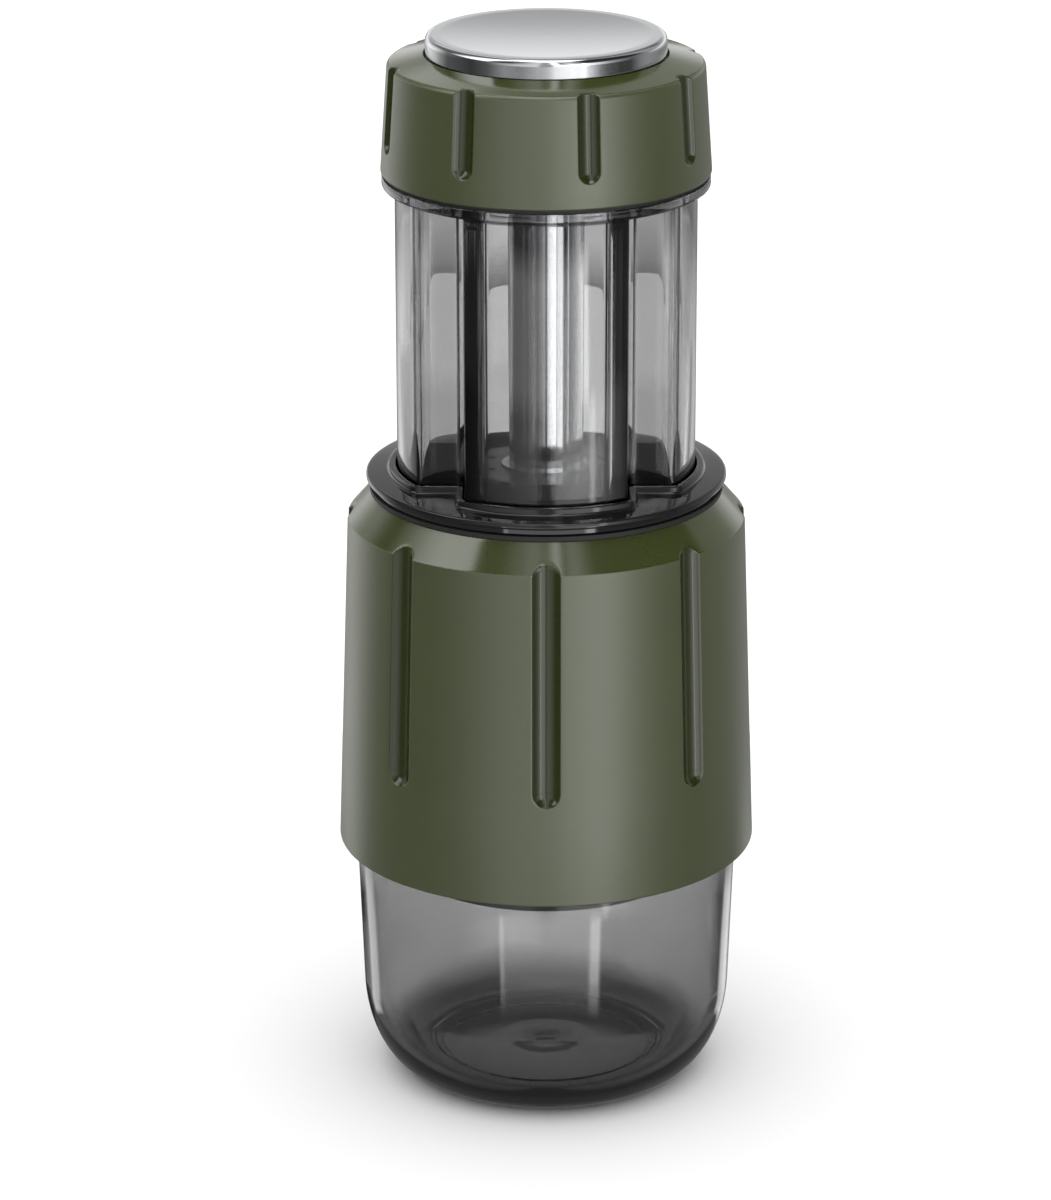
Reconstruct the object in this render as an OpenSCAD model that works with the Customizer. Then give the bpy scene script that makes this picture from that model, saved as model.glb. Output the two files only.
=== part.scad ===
// Handheld manual espresso maker: a clear cup, a fluted sleeve round the water tank,
// and a sprung plunger with a four-lobed clear tube. Z points up, and z = 0 is the cup's foot.

/* [Cup] */
// Height of the cup from its foot to its rim
cup_h = 54; // [48:1:80]
// Draft of the cup's side, from the top of its base rounding to the rim
cup_draft = 1.4; // [0:0.1:2.4]
// Height of the tall rounding between foot and side
cup_round_h = 17.7; // [10:0.1:34]
// How far the edge of the flat foot stands in from the rim
cup_foot_in = 12.15; // [6:0.05:14]
// Wall thickness of the cup
cup_wall = 2.2; // [1.5:0.1:3]
// Height of the cup's inner floor
cup_floor = 3.3; // [2.6:0.1:10]
// How far the edge of the inner floor stands in from the edge of the foot
cup_heel = 0.4; // [0:0.1:8]
// Width of the flat ring round the recess under the foot
foot_ring = 3.5; // [2:0.1:8]
// Depth of the shallow recess under the foot
foot_recess_h = 1; // [0.4:0.1:2]

/* [Sleeve] */
// How far the sleeve reaches down over the cup
sleeve_cover = 8.5; // [4:0.5:12]
// Side wall left outside the lock ring at the sleeve's foot
sleeve_foot_wall = 2.4; // [2.3:0.1:5]
// Draft of the sleeve's side, wide at the foot
sleeve_draft = 2.1; // [0:0.1:4]
// Height of the cone between the sleeve's side and the collar
sleeve_cone_h = 5.1; // [3:0.1:8]
// How far the cone leans inwards
sleeve_cone_in = 4.4; // [2:0.1:6]
// Radius of the rounding at the sleeve's foot
sleeve_round = 2.2; // [0.5:0.1:2.3]
// Width of a sleeve groove, which is scooped like a half-round channel
groove_w = 5.2; // [3:0.1:7]
// Depth of a sleeve groove
groove_depth = 1.3; // [0.5:0.1:1.6]
// Height of the plain band under the sleeve's grooves
groove_foot = 18.5; // [8:0.5:30]
// Number of grooves round the sleeve, and round the cap
groove_count = 8; // [4:1:12]

/* [Plunger] */
// Travel of the plunger
stroke = 42; // [30:1:50]
// Gap left for the fingers under the cap when the plunger is down
finger_gap = 9.3; // [4:0.1:20]
// Outer radius of the clear tube's lobes, which every other radius follows
tube_r = 26.8; // [22:0.1:32]
// Half the width of one lobe, as a share of that radius
lobe_share = 0.536; // [0.5:0.002:0.58]
// Radius in the inner corner of a notch
notch_corner = 1.6; // [0.6:0.1:3]
// Radius on the two edges of a lobe
lobe_edge = 1.1; // [0.5:0.1:2]
// Wall thickness of the clear tube
tube_wall = 2.1; // [1.5:0.1:2.6]
// Thickness of the clear tube's top plate
plate_t = 2; // [1.5:0.1:4]
// Thickness of the stop ring on the tube's lower end
stop_t = 2.5; // [1.5:0.1:4]
// How far the stop ring stands out from the tube
stop_out = 1.5; // [1:0.1:2]

/* [Cap] */
// How far the cap's lower edge stands out from the clear tube
cap_over = 2.5; // [2:0.1:6]
// Height of the cap's side
cap_side_h = 19.5; // [14:0.1:26]
// Draft of the cap's side, wide at the lower edge
cap_draft = 1.3; // [0:0.1:3]
// Radius of the rounding at the cap's shoulder
cap_round = 1.2; // [0.4:0.1:2]
// Rise of the cap's top from its shoulder to the disc
cap_rise = 1.6; // [0.6:0.1:4]
// Wall thickness of the cap
cap_wall = 2.4; // [2:0.1:2.6]
// Width of a cap groove
cap_groove_w = 4.2; // [2.6:0.1:6]
// Depth of a cap groove
cap_groove_depth = 1.2; // [0.5:0.1:1.4]
// Height of the plain band under the cap's grooves
cap_groove_foot = 4.5; // [2:0.1:8]
// How far the cap's grooves are turned from the sleeve's
cap_turn = 15; // [0:1:45]
// Thickness of the dark seal under the cap
cap_seal_t = 0.6; // [0.4:0.1:1]
// Distance from the cap's lower edge in to the steel palm disc
disc_in = 8.05; // [5.4:0.05:12]
// Thickness of the palm disc
disc_t = 3.6; // [2:0.1:6]
// Radius of the rounding on the palm disc's upper edge
disc_round = 1.1; // [0.4:0.1:1.6]
// Depth of the well that the palm disc sits in
well_h = 1; // [0.6:0.1:1.4]
// Radius of the stub under the palm disc
stub_r = 5; // [3:0.1:6]
// Length of the stub under the palm disc
stub_h = 5; // [3:0.1:6]
// How far the steel rod reaches up into the cap
rod_in_cap = 12; // [9:0.1:13]

/* [Collar] */
// Width of the sleeve's flat top round the collar's neck
collar_land = 1.6; // [1.2:0.1:3]
// How far the collar's flange stands out from the top of the sleeve's cone
flange_out = 0.9; // [0:0.1:2]
// Thickness of the collar's flange
flange_t = 2.5; // [1.8:0.1:4]
// Thickness of the thin rim that the flange ends in
rim_t = 1.2; // [0.8:0.1:1.4]
// How far the shoulder under that rim stands in from it
shoulder_in = 1; // [0.4:0.1:2]
// Rise of the flange from its edge to the lip
flange_rise = 0.3; // [0:0.1:1]
// Height of the lip round the tube, above the flange's edge
lip_h = 1.4; // [1:0.1:4]
// Width of the lip round the tube
lip_w = 1.2; // [0.8:0.1:2]
// Depth of the collar's guide below its flange
guide_h = 4; // [3.5:0.1:8]
// Wall of the guide outside the lobes
guide_wall = 2.8; // [2.4:0.1:3.2]
// Thickness of the gasket under the flange
gasket_t = 0.8; // [0.5:0.1:1.5]
// Thickness of the wiper seal under the collar
wiper_t = 1; // [0.6:0.1:2]

/* [Pump] */
// Gap between the pump cylinder and the notches inside the clear tube
cylinder_room = 3.9; // [3:0.1:5]
// Wall thickness of the pump cylinder
cylinder_wall = 1.8; // [1.2:0.1:2.2]
// Height of the cylinder's lid above the collar's flange
lid_up = 1.8; // [1:0.1:5]
// Thickness of the cylinder's lid
lid_t = 4; // [3:0.1:6]
// Number of water holes in the lid
lid_holes = 8; // [4:1:10]
// Radius of a water hole in the lid
lid_hole_r = 0.8; // [0.5:0.1:1.2]
// Radius of the steel rod, as a share of the pump cylinder's
rod_share = 0.44; // [0.42:0.01:0.46]
// Wall thickness of the hollow rod
rod_wall = 1.2; // [0.8:0.1:1.4]
// Wall of the gland ring round the rod
gland_wall = 1.3; // [1:0.1:1.6]
// Depth of the gland ring in the lid
gland_h = 2; // [1.2:0.1:2.6]
// How far the gland ring stands proud of the lid
gland_up = 0.4; // [0:0.1:1]
// Depth of the sockets of the pump cylinder and the spindle in the tank's floor
socket_h = 2; // [1.4:0.1:2.6]
// Height of the piston above its valve plate
piston_h = 5; // [4:0.1:6]
// Number of ports through the piston
port_count = 6; // [4:1:8]
// Radius of a port through the piston
port_r = 1; // [0.6:0.1:1.2]
// Height of the gap in which the valve plate moves
valve_gap = 1.6; // [1.4:0.1:2]
// Thickness of the valve plate
valve_t = 0.7; // [0.5:0.1:0.9]
// Thickness of the clip under the valve plate
clip_t = 0.8; // [0.5:0.1:1]
// Wire diameter of the return spring
spring_wire = 1.1; // [0.8:0.05:1.2]
// Gap between the return spring and the rod's bore
spring_room = 0.45; // [0.3:0.05:0.6]
// Number of curls in the return spring
spring_curls = 22; // [16:1:24]
// Gap between the spindle and the return spring round it
spindle_room = 0.85; // [0.4:0.05:1.4]
// Length of the spindle above the tank's floor
spindle_h = 64; // [50:1:68]

/* [Tank and brew group] */
// Wall thickness of the tank
tank_wall = 1.8; // [1.2:0.1:2.5]
// Thickness of the tank's floor
tank_floor_t = 5; // [4.4:0.1:8]
// Height of the space over the shower screen
shower_gap = 3; // [2.6:0.1:5]
// Thickness of the lock ring over the cup's rim
lock_t = 2; // [1.5:0.1:3]
// Height of the tank's flange over the lock ring
tank_flange_t = 2.6; // [2:0.1:4]
// Wall of the skirt that hangs inside the cup's rim
skirt_wall = 2.4; // [2:0.1:3]
// Depth of the skirt below the lock ring
skirt_h = 7; // [6:0.5:10]
// Distance from the brew head's side in to the coffee basket
head_wall = 7; // [6.4:0.1:9]
// Inner depth of the coffee basket
basket_h = 9; // [7:0.5:10]
// Sheet thickness of the basket and the shower screen
sheet_t = 0.8; // [0.5:0.1:1.2]
// Width of the basket's rim
basket_rim = 3; // [2.4:0.1:3.4]
// Number of rings of holes in the basket's floor and the shower screen
hole_rings = 4; // [2:1:4]
// Radius of a hole in the basket's floor and the shower screen
sheet_hole_r = 0.5; // [0.3:0.1:0.8]
// Thickness of the brew gasket
brew_gasket_t = 2; // [1.4:0.1:3]
// Thickness of the brew head's floor
head_floor = 2; // [1.5:0.1:3]
// Length of the spout below the brew head
spout_h = 5; // [3:0.5:7]
// Inner radius of the spout
spout_bore = 1.8; // [1:0.1:2]
// Outer radius of the spout
spout_r = 4.2; // [3:0.1:6]
// Radius of the outlet ball
ball_r = 1.5; // [1.2:0.1:1.7]
// Distance from the cylinder's bore in to the middle of the outlet valve
outlet_in = 4; // [3.4:0.1:4.6]

/* [Clearances] */
// Gap between pieces that lift, slide or screw past each other
move_gap = 0.3; // [0.2:0.05:0.4]
// Gap between pieces fitted into each other
seat_gap = 0.1; // [0.05:0.05:0.15]
// Radial gap of a shaft that runs in its bush
run_gap = 0.06; // [0.03:0.01:0.1]
// Spare room at the lower end of the stroke
end_gap = 0.6; // [0.4:0.1:2]

/* [Hidden] */
$fn = 120;

olive = [0.35, 0.39, 0.27];
smoke = [0.35, 0.36, 0.38, 0.45];
dark_smoke = [0.13, 0.13, 0.15];
steel = [0.8, 0.81, 0.83];
dark_plastic = [0.17, 0.17, 0.18];
black_rubber = [0.06, 0.06, 0.06];

// How far a cutter runs out past what it cuts
cut = 1;
// Small bevels, and the finest ones on edges that are seen
bevel = 0.6;
edge = 0.4;
// The least gap, between things that touch
rest_gap = 0.03;
// Section of a round sealing ring, and how far it stands out of its groove
seal_r = 0.9;
seal_out = 0.05;

// Radii that follow from the clear tube's, going outwards and down to the cup
lobe_half = tube_r * lobe_share;
guide_r = tube_r + guide_wall;
sleeve_neck_r = guide_r + move_gap;
sleeve_top_r = sleeve_neck_r + collar_land;
sleeve_edge_r = sleeve_top_r + sleeve_cone_in;
sleeve_r = sleeve_edge_r + sleeve_draft;
lock_r = sleeve_r - sleeve_foot_wall - seat_gap;
cup_rim_r = lock_r - move_gap;
cup_foot_r = cup_rim_r - cup_foot_in;
foot_recess_r = cup_foot_r - foot_ring;
flange_r = sleeve_top_r + flange_out;
cap_r = tube_r + cap_over;
disc_r = cap_r - disc_in;

// Heights of the parts under the tank, counted up from the cup
lock_z = cup_h + move_gap;
tank_flange_z = lock_z + lock_t;
brew_z = lock_z;
tank_floor_z = brew_z + shower_gap + tank_floor_t;
sleeve_z = cup_h - sleeve_cover;

// Radii that nest round the cup's rim
cup_in_r = cup_rim_r - cup_wall;
skirt_r = cup_in_r - move_gap;
skirt_in_r = skirt_r - skirt_wall;
head_r = skirt_in_r - move_gap;
cup_seal_z = lock_z - skirt_h + 3 * seal_r;

// Heights of the plunger and the collar, counted up from the tank's floor
tube_z = tank_floor_z + stroke + end_gap;
wiper_z = tube_z + stop_t + move_gap;
guide_z = wiper_z + wiper_t;
flange_z = guide_z + guide_h;
flange_top = flange_z + flange_t;
lip_z = flange_top + lip_h;
sleeve_top = flange_z - gasket_t;
sleeve_edge = sleeve_top - sleeve_cone_h;
plate_z = lip_z + stroke + finger_gap;
plate_top = plate_z + plate_t;
cap_z = plate_top + cap_seal_t;

// The cap's top, its thickness of ribs, and the well that the palm disc sits in
disc_sunk = 0.2;
rib_t = 1.6;
cap_shoulder = cap_z + cap_side_h;
well_edge = cap_shoulder + cap_rise;
disc_z = well_edge - disc_sunk;
well_z = well_edge - well_h;
well_r = disc_r + seat_gap;

// Radii inside the sleeve, and heights of its neck
neck_h = 5;
sleeve_wall = 1.2;
sleeve_lean = atan(sleeve_draft / (sleeve_edge - sleeve_z));
sleeve_bore_r = sleeve_edge_r - groove_depth - sleeve_wall;
tank_r = sleeve_bore_r - seat_gap;
tank_in_r = tank_r - tank_wall;
collar_seal_z = flange_z - guide_h / 2;
tank_top = sleeve_top - neck_h - (sleeve_bore_r - sleeve_neck_r) - move_gap;

// Pump cylinder, its lid and its seal
cylinder_seal_w = 1;
notch_r = (lobe_half + notch_corner) * sqrt(2) - notch_corner - tube_wall;
cylinder_r = notch_r - cylinder_room;
cylinder_in_r = cylinder_r - cylinder_wall;
cylinder_z = tank_floor_z - socket_h + move_gap;
lid_top = flange_top + lid_up;
lid_z = lid_top - lid_t;

// Rod, the nut and the plug at its top, and the gland ring round it
nut_h = 3.4;
plug_h = 4;
rod_r = cylinder_r * rod_share;
rod_in_r = rod_r - rod_wall;
rod_top = cap_z + rod_in_cap;
nut_r = rod_r + nut_h;
plug_z = rod_top - plug_h;
gland_r = rod_r + run_gap + gland_wall;

// Piston, its ring and the valve plate under it, counted down from the lid
hub_wall = 0.6;
ring_h = 1.6;
ring_groove = 1.4;
piston_top = lid_z - 2 * move_gap;
piston_face = piston_top - piston_h;
clip_z = piston_face - valve_gap - clip_t;
rod_z = piston_face + cut;
hub_r = rod_r + hub_wall;
clip_in_r = hub_r - hub_wall + seat_gap;
valve_in_r = hub_r + move_gap;
valve_r = cylinder_in_r - ring_groove;
piston_r = cylinder_in_r - 2 * move_gap;
ring_r = cylinder_in_r - run_gap;
ring_floor_r = piston_r - ring_groove;
ring_z = piston_face + (piston_h - ring_h) / 2;
port_x = (valve_in_r + valve_r) / 2;

// Return spring, and the spindle inside it
spring_r = rod_in_r - spring_room - spring_wire / 2;
spindle_r = spring_r - spring_wire / 2 - spindle_room;

// Brew group: the basket, the head that holds it and the shower screen over it
head_bevel = 3;
finger_r = 2;
spout_flange = 1.6;
spout_flange_t = 1;
cavity_step = 1.5;
basket_r = head_r - head_wall;
basket_in_r = basket_r - sheet_t;
basket_rim_r = basket_r + basket_rim;
basket_top = brew_z - brew_gasket_t;
basket_z = basket_top - basket_h - sheet_t;
head_bore_r = basket_r + move_gap;
head_floor_z = basket_z - move_gap;
head_z = head_floor_z - head_floor;
screen_r = basket_in_r - 2 * move_gap;
cavity_r = screen_r - cavity_step;

// Shower screw
screw_r = 1.4;
screw_head = 1.2;
screw_boss_r = 3.4;
screw_top = brew_z + shower_gap + 1;

// Outlet valve: its seat, the ball on it, the spring and the cage
outlet_wire = 0.26;
seat_t = 1.4;
boss_wall = 1.4;
cage_t = 0.6;
cage_z = brew_z + sheet_t + 2 * seat_gap;
outlet_x = cylinder_in_r - outlet_in;
seat_hole_r = ball_r * 0.66;
seat_z = tank_floor_z - seat_t;
ball_z = seat_z - sqrt(ball_r * ball_r - seat_hole_r * seat_hole_r) - rest_gap;
pocket_r = ball_r + move_gap;
boss_r = pocket_r + boss_wall;

// Points of an arc about a centre, from one angle to another
function arc(c, r, a, b, n) = [for (i = [0:n]) c + r * [cos(a + (b - a) * i / n), sin(a + (b - a) * i / n)]];
// Points of a quarter of an ellipse from the foot circle up to the side
function quarter(r0, z0, r1, z1, n) =
    [for (i = [0:n]) [r0 + (r1 - r0) * sin(90 * i / n), z0 + (z1 - z0) * (1 - cos(90 * i / n))]];

// A round bar between two heights
module bar(r, z0, z1) {
    translate([0, 0, z0]) cylinder(h = z1 - z0, r = r);
}

// A cutter for a round hole that runs out past both of its heights
module hole(r, z0, z1) {
    bar(r, z0 - cut, z1 + cut);
}

// A ring of rectangular section between two heights
module ring(r_in, r_out, z0, z1) {
    difference() {
        bar(r_out, z0, z1);
        hole(r_in, z0, z1);
    }
}

// A sealing ring of round section
module round_ring(r_mid, z_mid, section_r) {
    translate([0, 0, z_mid]) rotate_extrude() translate([r_mid, 0]) circle(section_r, $fn = 32);
}

// Outline of the clear tube: a disc with four square notches, all its corners rounded
module lobes(r, half, corner, edge) {
    // the rounding of a lobe's edge reaches a hair past the disc, so that the two cross cleanly
    reach = r - 0.99 * edge;
    tip_x = half - edge;
    tip_y = sqrt(reach * reach - tip_x * tip_x);
    far_x = half + cut;
    difference() {
        circle(r);
        for (k = [0:3]) rotate(90 * k) {
            difference() {
                translate([half, half]) square(r);
                difference() {
                    translate([half - cut, half - cut]) square(corner + cut);
                    translate([half + corner, half + corner]) circle(corner, $fn = 48);
                }
            }
            for (m = [0, 1]) mirror([m, 0]) difference() {
                polygon([[tip_x, tip_y], [far_x, tip_y], [far_x, tip_y * far_x / tip_x]]);
                translate([tip_x, tip_y]) circle(edge, $fn = 48);
            }
        }
    }
}

// The tube's outline grown by a wall or a clearance, or shrunk by a negative one
module lobes_grown(by) {
    lobes(tube_r + by, lobe_half + by, max(notch_corner - by, 0.2), max(lobe_edge + by, 0.6));
}

// That outline as a solid between two heights
module lobed_bar(by, z0, z1) {
    translate([0, 0, z0]) linear_extrude(z1 - z0) lobes_grown(by);
}

// Cutter of one scooped groove with a round lower end, its floor at x = 0 and its end at z = 0
module groove_cutter(w, depth, length) {
    scoop_r = (w * w / 4 + depth * depth) / (2 * depth);
    translate([scoop_r, 0, w / 2]) {
        cylinder(h = length, r = scoop_r, $fn = 64);
        sphere(scoop_r, $fn = 64);
    }
}

// Cutters of the grooves round a wall of a foot radius that leans inwards, first groove at the front
module grooves(turn, wall_r, wall_z, lean, foot, w, depth, length) {
    for (k = [0:groove_count - 1]) rotate(-90 + turn + 360 * k / groove_count)
        translate([wall_r - depth, 0, wall_z]) rotate([0, -lean, 0]) translate([0, 0, foot])
            groove_cutter(w, depth, length);
}

// A coil of round wire as one tube, with its ends drawn in flat
module coil(r, wire, z0, z1, curls, rings, sides) {
    steps = curls * rings;
    flat = 0.6;
    function rise(t) = t < flat ? 0 : t > curls - flat ? 1 : (t - flat) / (curls - 2 * flat);
    function mid(i) = [r * cos(360 * i / rings), r * sin(360 * i / rings),
        z0 + wire / 2 + (z1 - z0 - wire) * rise(i / rings)];
    points = [for (i = [0:steps]) let (c = mid(i), a = 360 * i / rings)
        for (k = [0:sides - 1]) let (b = 360 * k / sides)
            c + wire / 2 * [cos(b) * cos(a), cos(b) * sin(a), sin(b)]];
    sides_faces = [for (i = [0:steps - 1]) for (k = [0:sides - 1]) let (n = (k + 1) % sides)
        each [[i * sides + k, i * sides + n, (i + 1) * sides + n],
            [i * sides + k, (i + 1) * sides + n, (i + 1) * sides + k]]];
    caps = [[for (k = [sides - 1:-1:0]) k], [for (k = [0:sides - 1]) steps * sides + k]];
    first = ceil(flat * rings);
    gaps = [for (i = [first:steps - rings - first]) norm(mid(i + rings) - mid(i)) - wire];
    echo("least gap between curls", min(gaps));
    polyhedron(points = points, faces = concat(sides_faces, caps));
}

// Small holes through a sheet on rings about the axis, six more in each ring
module hole_field(r_max, z0, z1) {
    for (k = [1:hole_rings]) for (i = [0:6 * k - 1])
        rotate(360 * i / (6 * k)) translate([r_max * k / hole_rings, 0, 0])
            hole(sheet_hole_r, z0, z1, $fn = 16);
}

module cup() {
    side_r = cup_rim_r - cup_draft;
    inner_r = side_r - cup_wall;
    inner_foot = cup_foot_r - cup_heel;
    inner_top = cup_floor + min(cup_round_h * 0.8, cup_h - sleeve_cover - cup_floor - 2);
    inner_round = quarter(inner_foot, cup_floor, inner_r, inner_top, 16);
    color(smoke) difference() {
        rotate_extrude() polygon(concat(
            [[0, 0]],
            quarter(cup_foot_r, 0, side_r, cup_round_h, 18),
            [[cup_rim_r, cup_h - edge], [cup_rim_r - edge, cup_h]],
            [[cup_in_r + edge, cup_h], [cup_in_r, cup_h - edge], [cup_in_r, sleeve_z]],
            [for (i = [16:-1:0]) inner_round[i]],
            [[0, cup_floor]]));
        hole(foot_recess_r, 0, foot_recess_h - cut);
    }
}

module cup_seal() {
    color(black_rubber) round_ring(skirt_r - seal_r, cup_seal_z, seal_r + seal_out);
}

module sleeve() {
    foot = sleeve_z + sleeve_round;
    step = tank_flange_z + tank_flange_t;
    bore_top = sleeve_top - neck_h - sleeve_bore_r + sleeve_neck_r;
    foot_bore_r = lock_r + seat_gap;
    color(olive) difference() {
        rotate_extrude() polygon(concat(
            [[foot_bore_r, sleeve_z]],
            arc([sleeve_r - sleeve_round, foot], sleeve_round, -90, 0, 8),
            [[sleeve_edge_r, sleeve_edge - bevel], [sleeve_edge_r - edge, sleeve_edge]],
            [[sleeve_top_r, sleeve_top], [sleeve_neck_r, sleeve_top], [sleeve_neck_r, sleeve_top - neck_h]],
            [[sleeve_bore_r, bore_top], [sleeve_bore_r, step], [foot_bore_r, step]]));
        grooves(0, sleeve_r, sleeve_z, sleeve_lean, groove_foot, groove_w, groove_depth,
            sleeve_top - sleeve_z);
    }
}

module lock_ring() {
    color(dark_plastic) ring(skirt_r + seat_gap, lock_r, lock_z, tank_flange_z);
}

module tank() {
    flange_top_z = tank_flange_z + tank_flange_t - seat_gap;
    shower_top = brew_z + shower_gap;
    screen_top = brew_z + sheet_t;
    skirt_z = lock_z - skirt_h;
    color(dark_plastic) difference() {
        union() {
            rotate_extrude() polygon([
                [0, shower_top], [cavity_r, shower_top], [cavity_r, screen_top],
                [screen_r + seat_gap, screen_top], [screen_r + seat_gap, brew_z],
                [skirt_in_r, brew_z], [skirt_in_r, skirt_z],
                [skirt_r - bevel, skirt_z], [skirt_r, skirt_z + bevel],
                [skirt_r, tank_flange_z], [lock_r, tank_flange_z], [lock_r, flange_top_z],
                [tank_r, flange_top_z], [tank_r, tank_top], [tank_in_r + bevel, tank_top],
                [tank_in_r, tank_top - bevel], [tank_in_r, tank_floor_z], [0, tank_floor_z]]);
            translate([outlet_x, 0, 0]) bar(boss_r, cage_z, tank_floor_z, $fn = 48);
            bar(screw_boss_r, cage_z, tank_floor_z, $fn = 48);
        }
        // groove of the cup's seal
        round_ring(skirt_r - seal_r, cup_seal_z, seal_r + seal_out + seat_gap);
        // sockets of the pump cylinder and the spindle
        ring(cylinder_in_r - move_gap, cylinder_r + cylinder_seal_w + move_gap, tank_floor_z - socket_h,
            tank_floor_z + cut);
        bar(spindle_r + seat_gap, tank_floor_z - socket_h, tank_floor_z + cut, $fn = 48);
        // outlet valve: seat hole and ball pocket
        translate([outlet_x, 0, 0]) hole(seat_hole_r, seat_z, tank_floor_z, $fn = 32);
        translate([outlet_x, 0, 0]) bar(pocket_r, cage_z - cut, seat_z, $fn = 48);
        // hole of the shower screw
        bar(screw_r + seat_gap, cage_z - cut, screw_top + seat_gap, $fn = 32);
    }
}

module brew_gasket() {
    color(black_rubber) ring(basket_in_r, basket_rim_r, basket_top, brew_z);
}

module shower_screen() {
    color(steel) difference() {
        bar(screen_r, brew_z, brew_z + sheet_t);
        hole(screw_r + 2 * seat_gap, brew_z, brew_z + sheet_t, $fn = 32);
        hole_field(cavity_r - 3 * sheet_hole_r, brew_z, brew_z + sheet_t);
    }
}

module shower_screw() {
    color(steel) {
        bar(2 * screw_r, brew_z - screw_head, brew_z, $fn = 48);
        bar(screw_r, brew_z - screw_head, screw_top, $fn = 32);
    }
}

module outlet_ball() {
    color(steel) translate([outlet_x, 0, ball_z]) sphere(ball_r, $fn = 48);
}

module outlet_spring() {
    mid_r = ball_r * 0.53;
    touch_r = mid_r - outlet_wire / 2;
    top = ball_z - sqrt(ball_r * ball_r - touch_r * touch_r) - rest_gap;
    color(steel) translate([outlet_x, 0, 0]) coil(mid_r, outlet_wire, cage_z + cage_t, top, 3, 8, 6);
}

module outlet_cage() {
    color(dark_plastic) translate([outlet_x, 0, 0])
        ring(pocket_r * 0.38, pocket_r - seat_gap, cage_z, cage_z + cage_t);
}

module filter_basket() {
    color(steel) difference() {
        union() {
            bar(basket_r, basket_z, basket_top);
            bar(basket_rim_r, basket_top - sheet_t, basket_top);
        }
        bar(basket_in_r, basket_z + sheet_t, basket_top + cut);
        hole_field(basket_in_r - 4 * sheet_hole_r, basket_z, basket_z + sheet_t);
    }
}

module brew_head() {
    ledge = basket_top - sheet_t - move_gap;
    head_top = basket_top + sheet_t;
    color(dark_plastic) difference() {
        rotate_extrude() polygon([
            [spout_r + seat_gap, head_z], [head_r - head_bevel, head_z], [head_r, head_z + head_bevel],
            [head_r, head_top], [basket_rim_r + move_gap, head_top],
            [basket_rim_r + move_gap, ledge], [head_bore_r, ledge], [head_bore_r, head_floor_z],
            [spout_r + seat_gap, head_floor_z - bevel]]);
        // finger hollows round the lower edge
        for (k = [0:11]) rotate(30 * k) translate([head_r + 0.4 * finger_r, 0, 0])
            bar(finger_r, head_z - cut, ledge - 2 * finger_r, $fn = 32);
    }
}

module spout() {
    lip = head_floor_z - bevel;
    spout_z = head_z - spout_h;
    color(steel) difference() {
        union() {
            bar(spout_r, spout_z, lip, $fn = 64);
            bar(spout_r + spout_flange, head_z - spout_flange_t, head_z, $fn = 64);
        }
        hole(spout_bore, spout_z, lip, $fn = 48);
        translate([0, 0, head_z]) cylinder(h = lip - head_z + cut, r1 = spout_bore, r2 = spout_r, $fn = 48);
    }
}

module spindle() {
    tip = 2.5 * bevel;
    tip_z = tank_floor_z + spindle_h - tip;
    color(steel) {
        bar(spindle_r, tank_floor_z - socket_h, tip_z, $fn = 48);
        translate([0, 0, tip_z]) cylinder(h = tip, r1 = spindle_r, r2 = spindle_r * 0.66, $fn = 48);
    }
}

module return_spring() {
    color(steel) coil(spring_r, spring_wire, tank_floor_z, plug_z, spring_curls, 8, 6);
}

module collar() {
    crown_z = flange_top + flange_rise;
    crown_r = guide_r - 2;
    rim_z = flange_top - rim_t;
    shoulder_r = flange_r - shoulder_in;
    color(dark_smoke) difference() {
        union() {
            rotate_extrude() polygon([
                [0, guide_z], [guide_r - bevel, guide_z], [guide_r, guide_z + bevel], [guide_r, flange_z],
                [shoulder_r, flange_z], [shoulder_r, rim_z], [flange_r - edge, rim_z],
                [flange_r, rim_z + edge], [flange_r, flange_top - edge], [flange_r - edge, flange_top],
                [crown_r, crown_z], [0, crown_z]]);
            lobed_bar(move_gap + lip_w, flange_z, lip_z);
        }
        lobed_bar(move_gap, guide_z - cut, lip_z + cut);
        round_ring(guide_r - seal_r, collar_seal_z, seal_r + seal_out + seat_gap);
    }
}

module collar_gasket() {
    color(black_rubber) ring(guide_r + seat_gap, sleeve_top_r + 3 * seat_gap, sleeve_top, flange_z);
}

module collar_seal() {
    color(black_rubber) round_ring(guide_r - seal_r, collar_seal_z, seal_r + seal_out);
}

module wiper_seal() {
    color(black_rubber) difference() {
        bar(guide_r - bevel, wiper_z, guide_z);
        lobed_bar(move_gap, wiper_z - cut, guide_z + cut);
    }
}

module pump_cylinder() {
    color(dark_plastic) ring(cylinder_in_r, cylinder_r, cylinder_z, lid_z);
}

module cylinder_seal() {
    color(black_rubber)
        ring(cylinder_r, cylinder_r + cylinder_seal_w, cylinder_z, tank_floor_z - 2 * seat_gap);
}

module cylinder_lid() {
    color(dark_smoke) difference() {
        union() {
            bar(cylinder_r, lid_z, lid_top - bevel);
            translate([0, 0, lid_top - bevel]) cylinder(h = bevel, r1 = cylinder_r, r2 = cylinder_r - bevel);
        }
        hole(rod_r + move_gap, lid_z, lid_top);
        bar(gland_r + seat_gap, lid_top - gland_h, lid_top + cut);
        for (k = [0:lid_holes - 1]) rotate(360 * (k + 0.5) / lid_holes)
            translate([(gland_r + cylinder_in_r) / 2, 0, 0]) hole(lid_hole_r, lid_z, lid_top, $fn = 32);
    }
}

module rod_gland() {
    color(steel) ring(rod_r + run_gap, gland_r, lid_top - gland_h, lid_top + gland_up);
}

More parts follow.
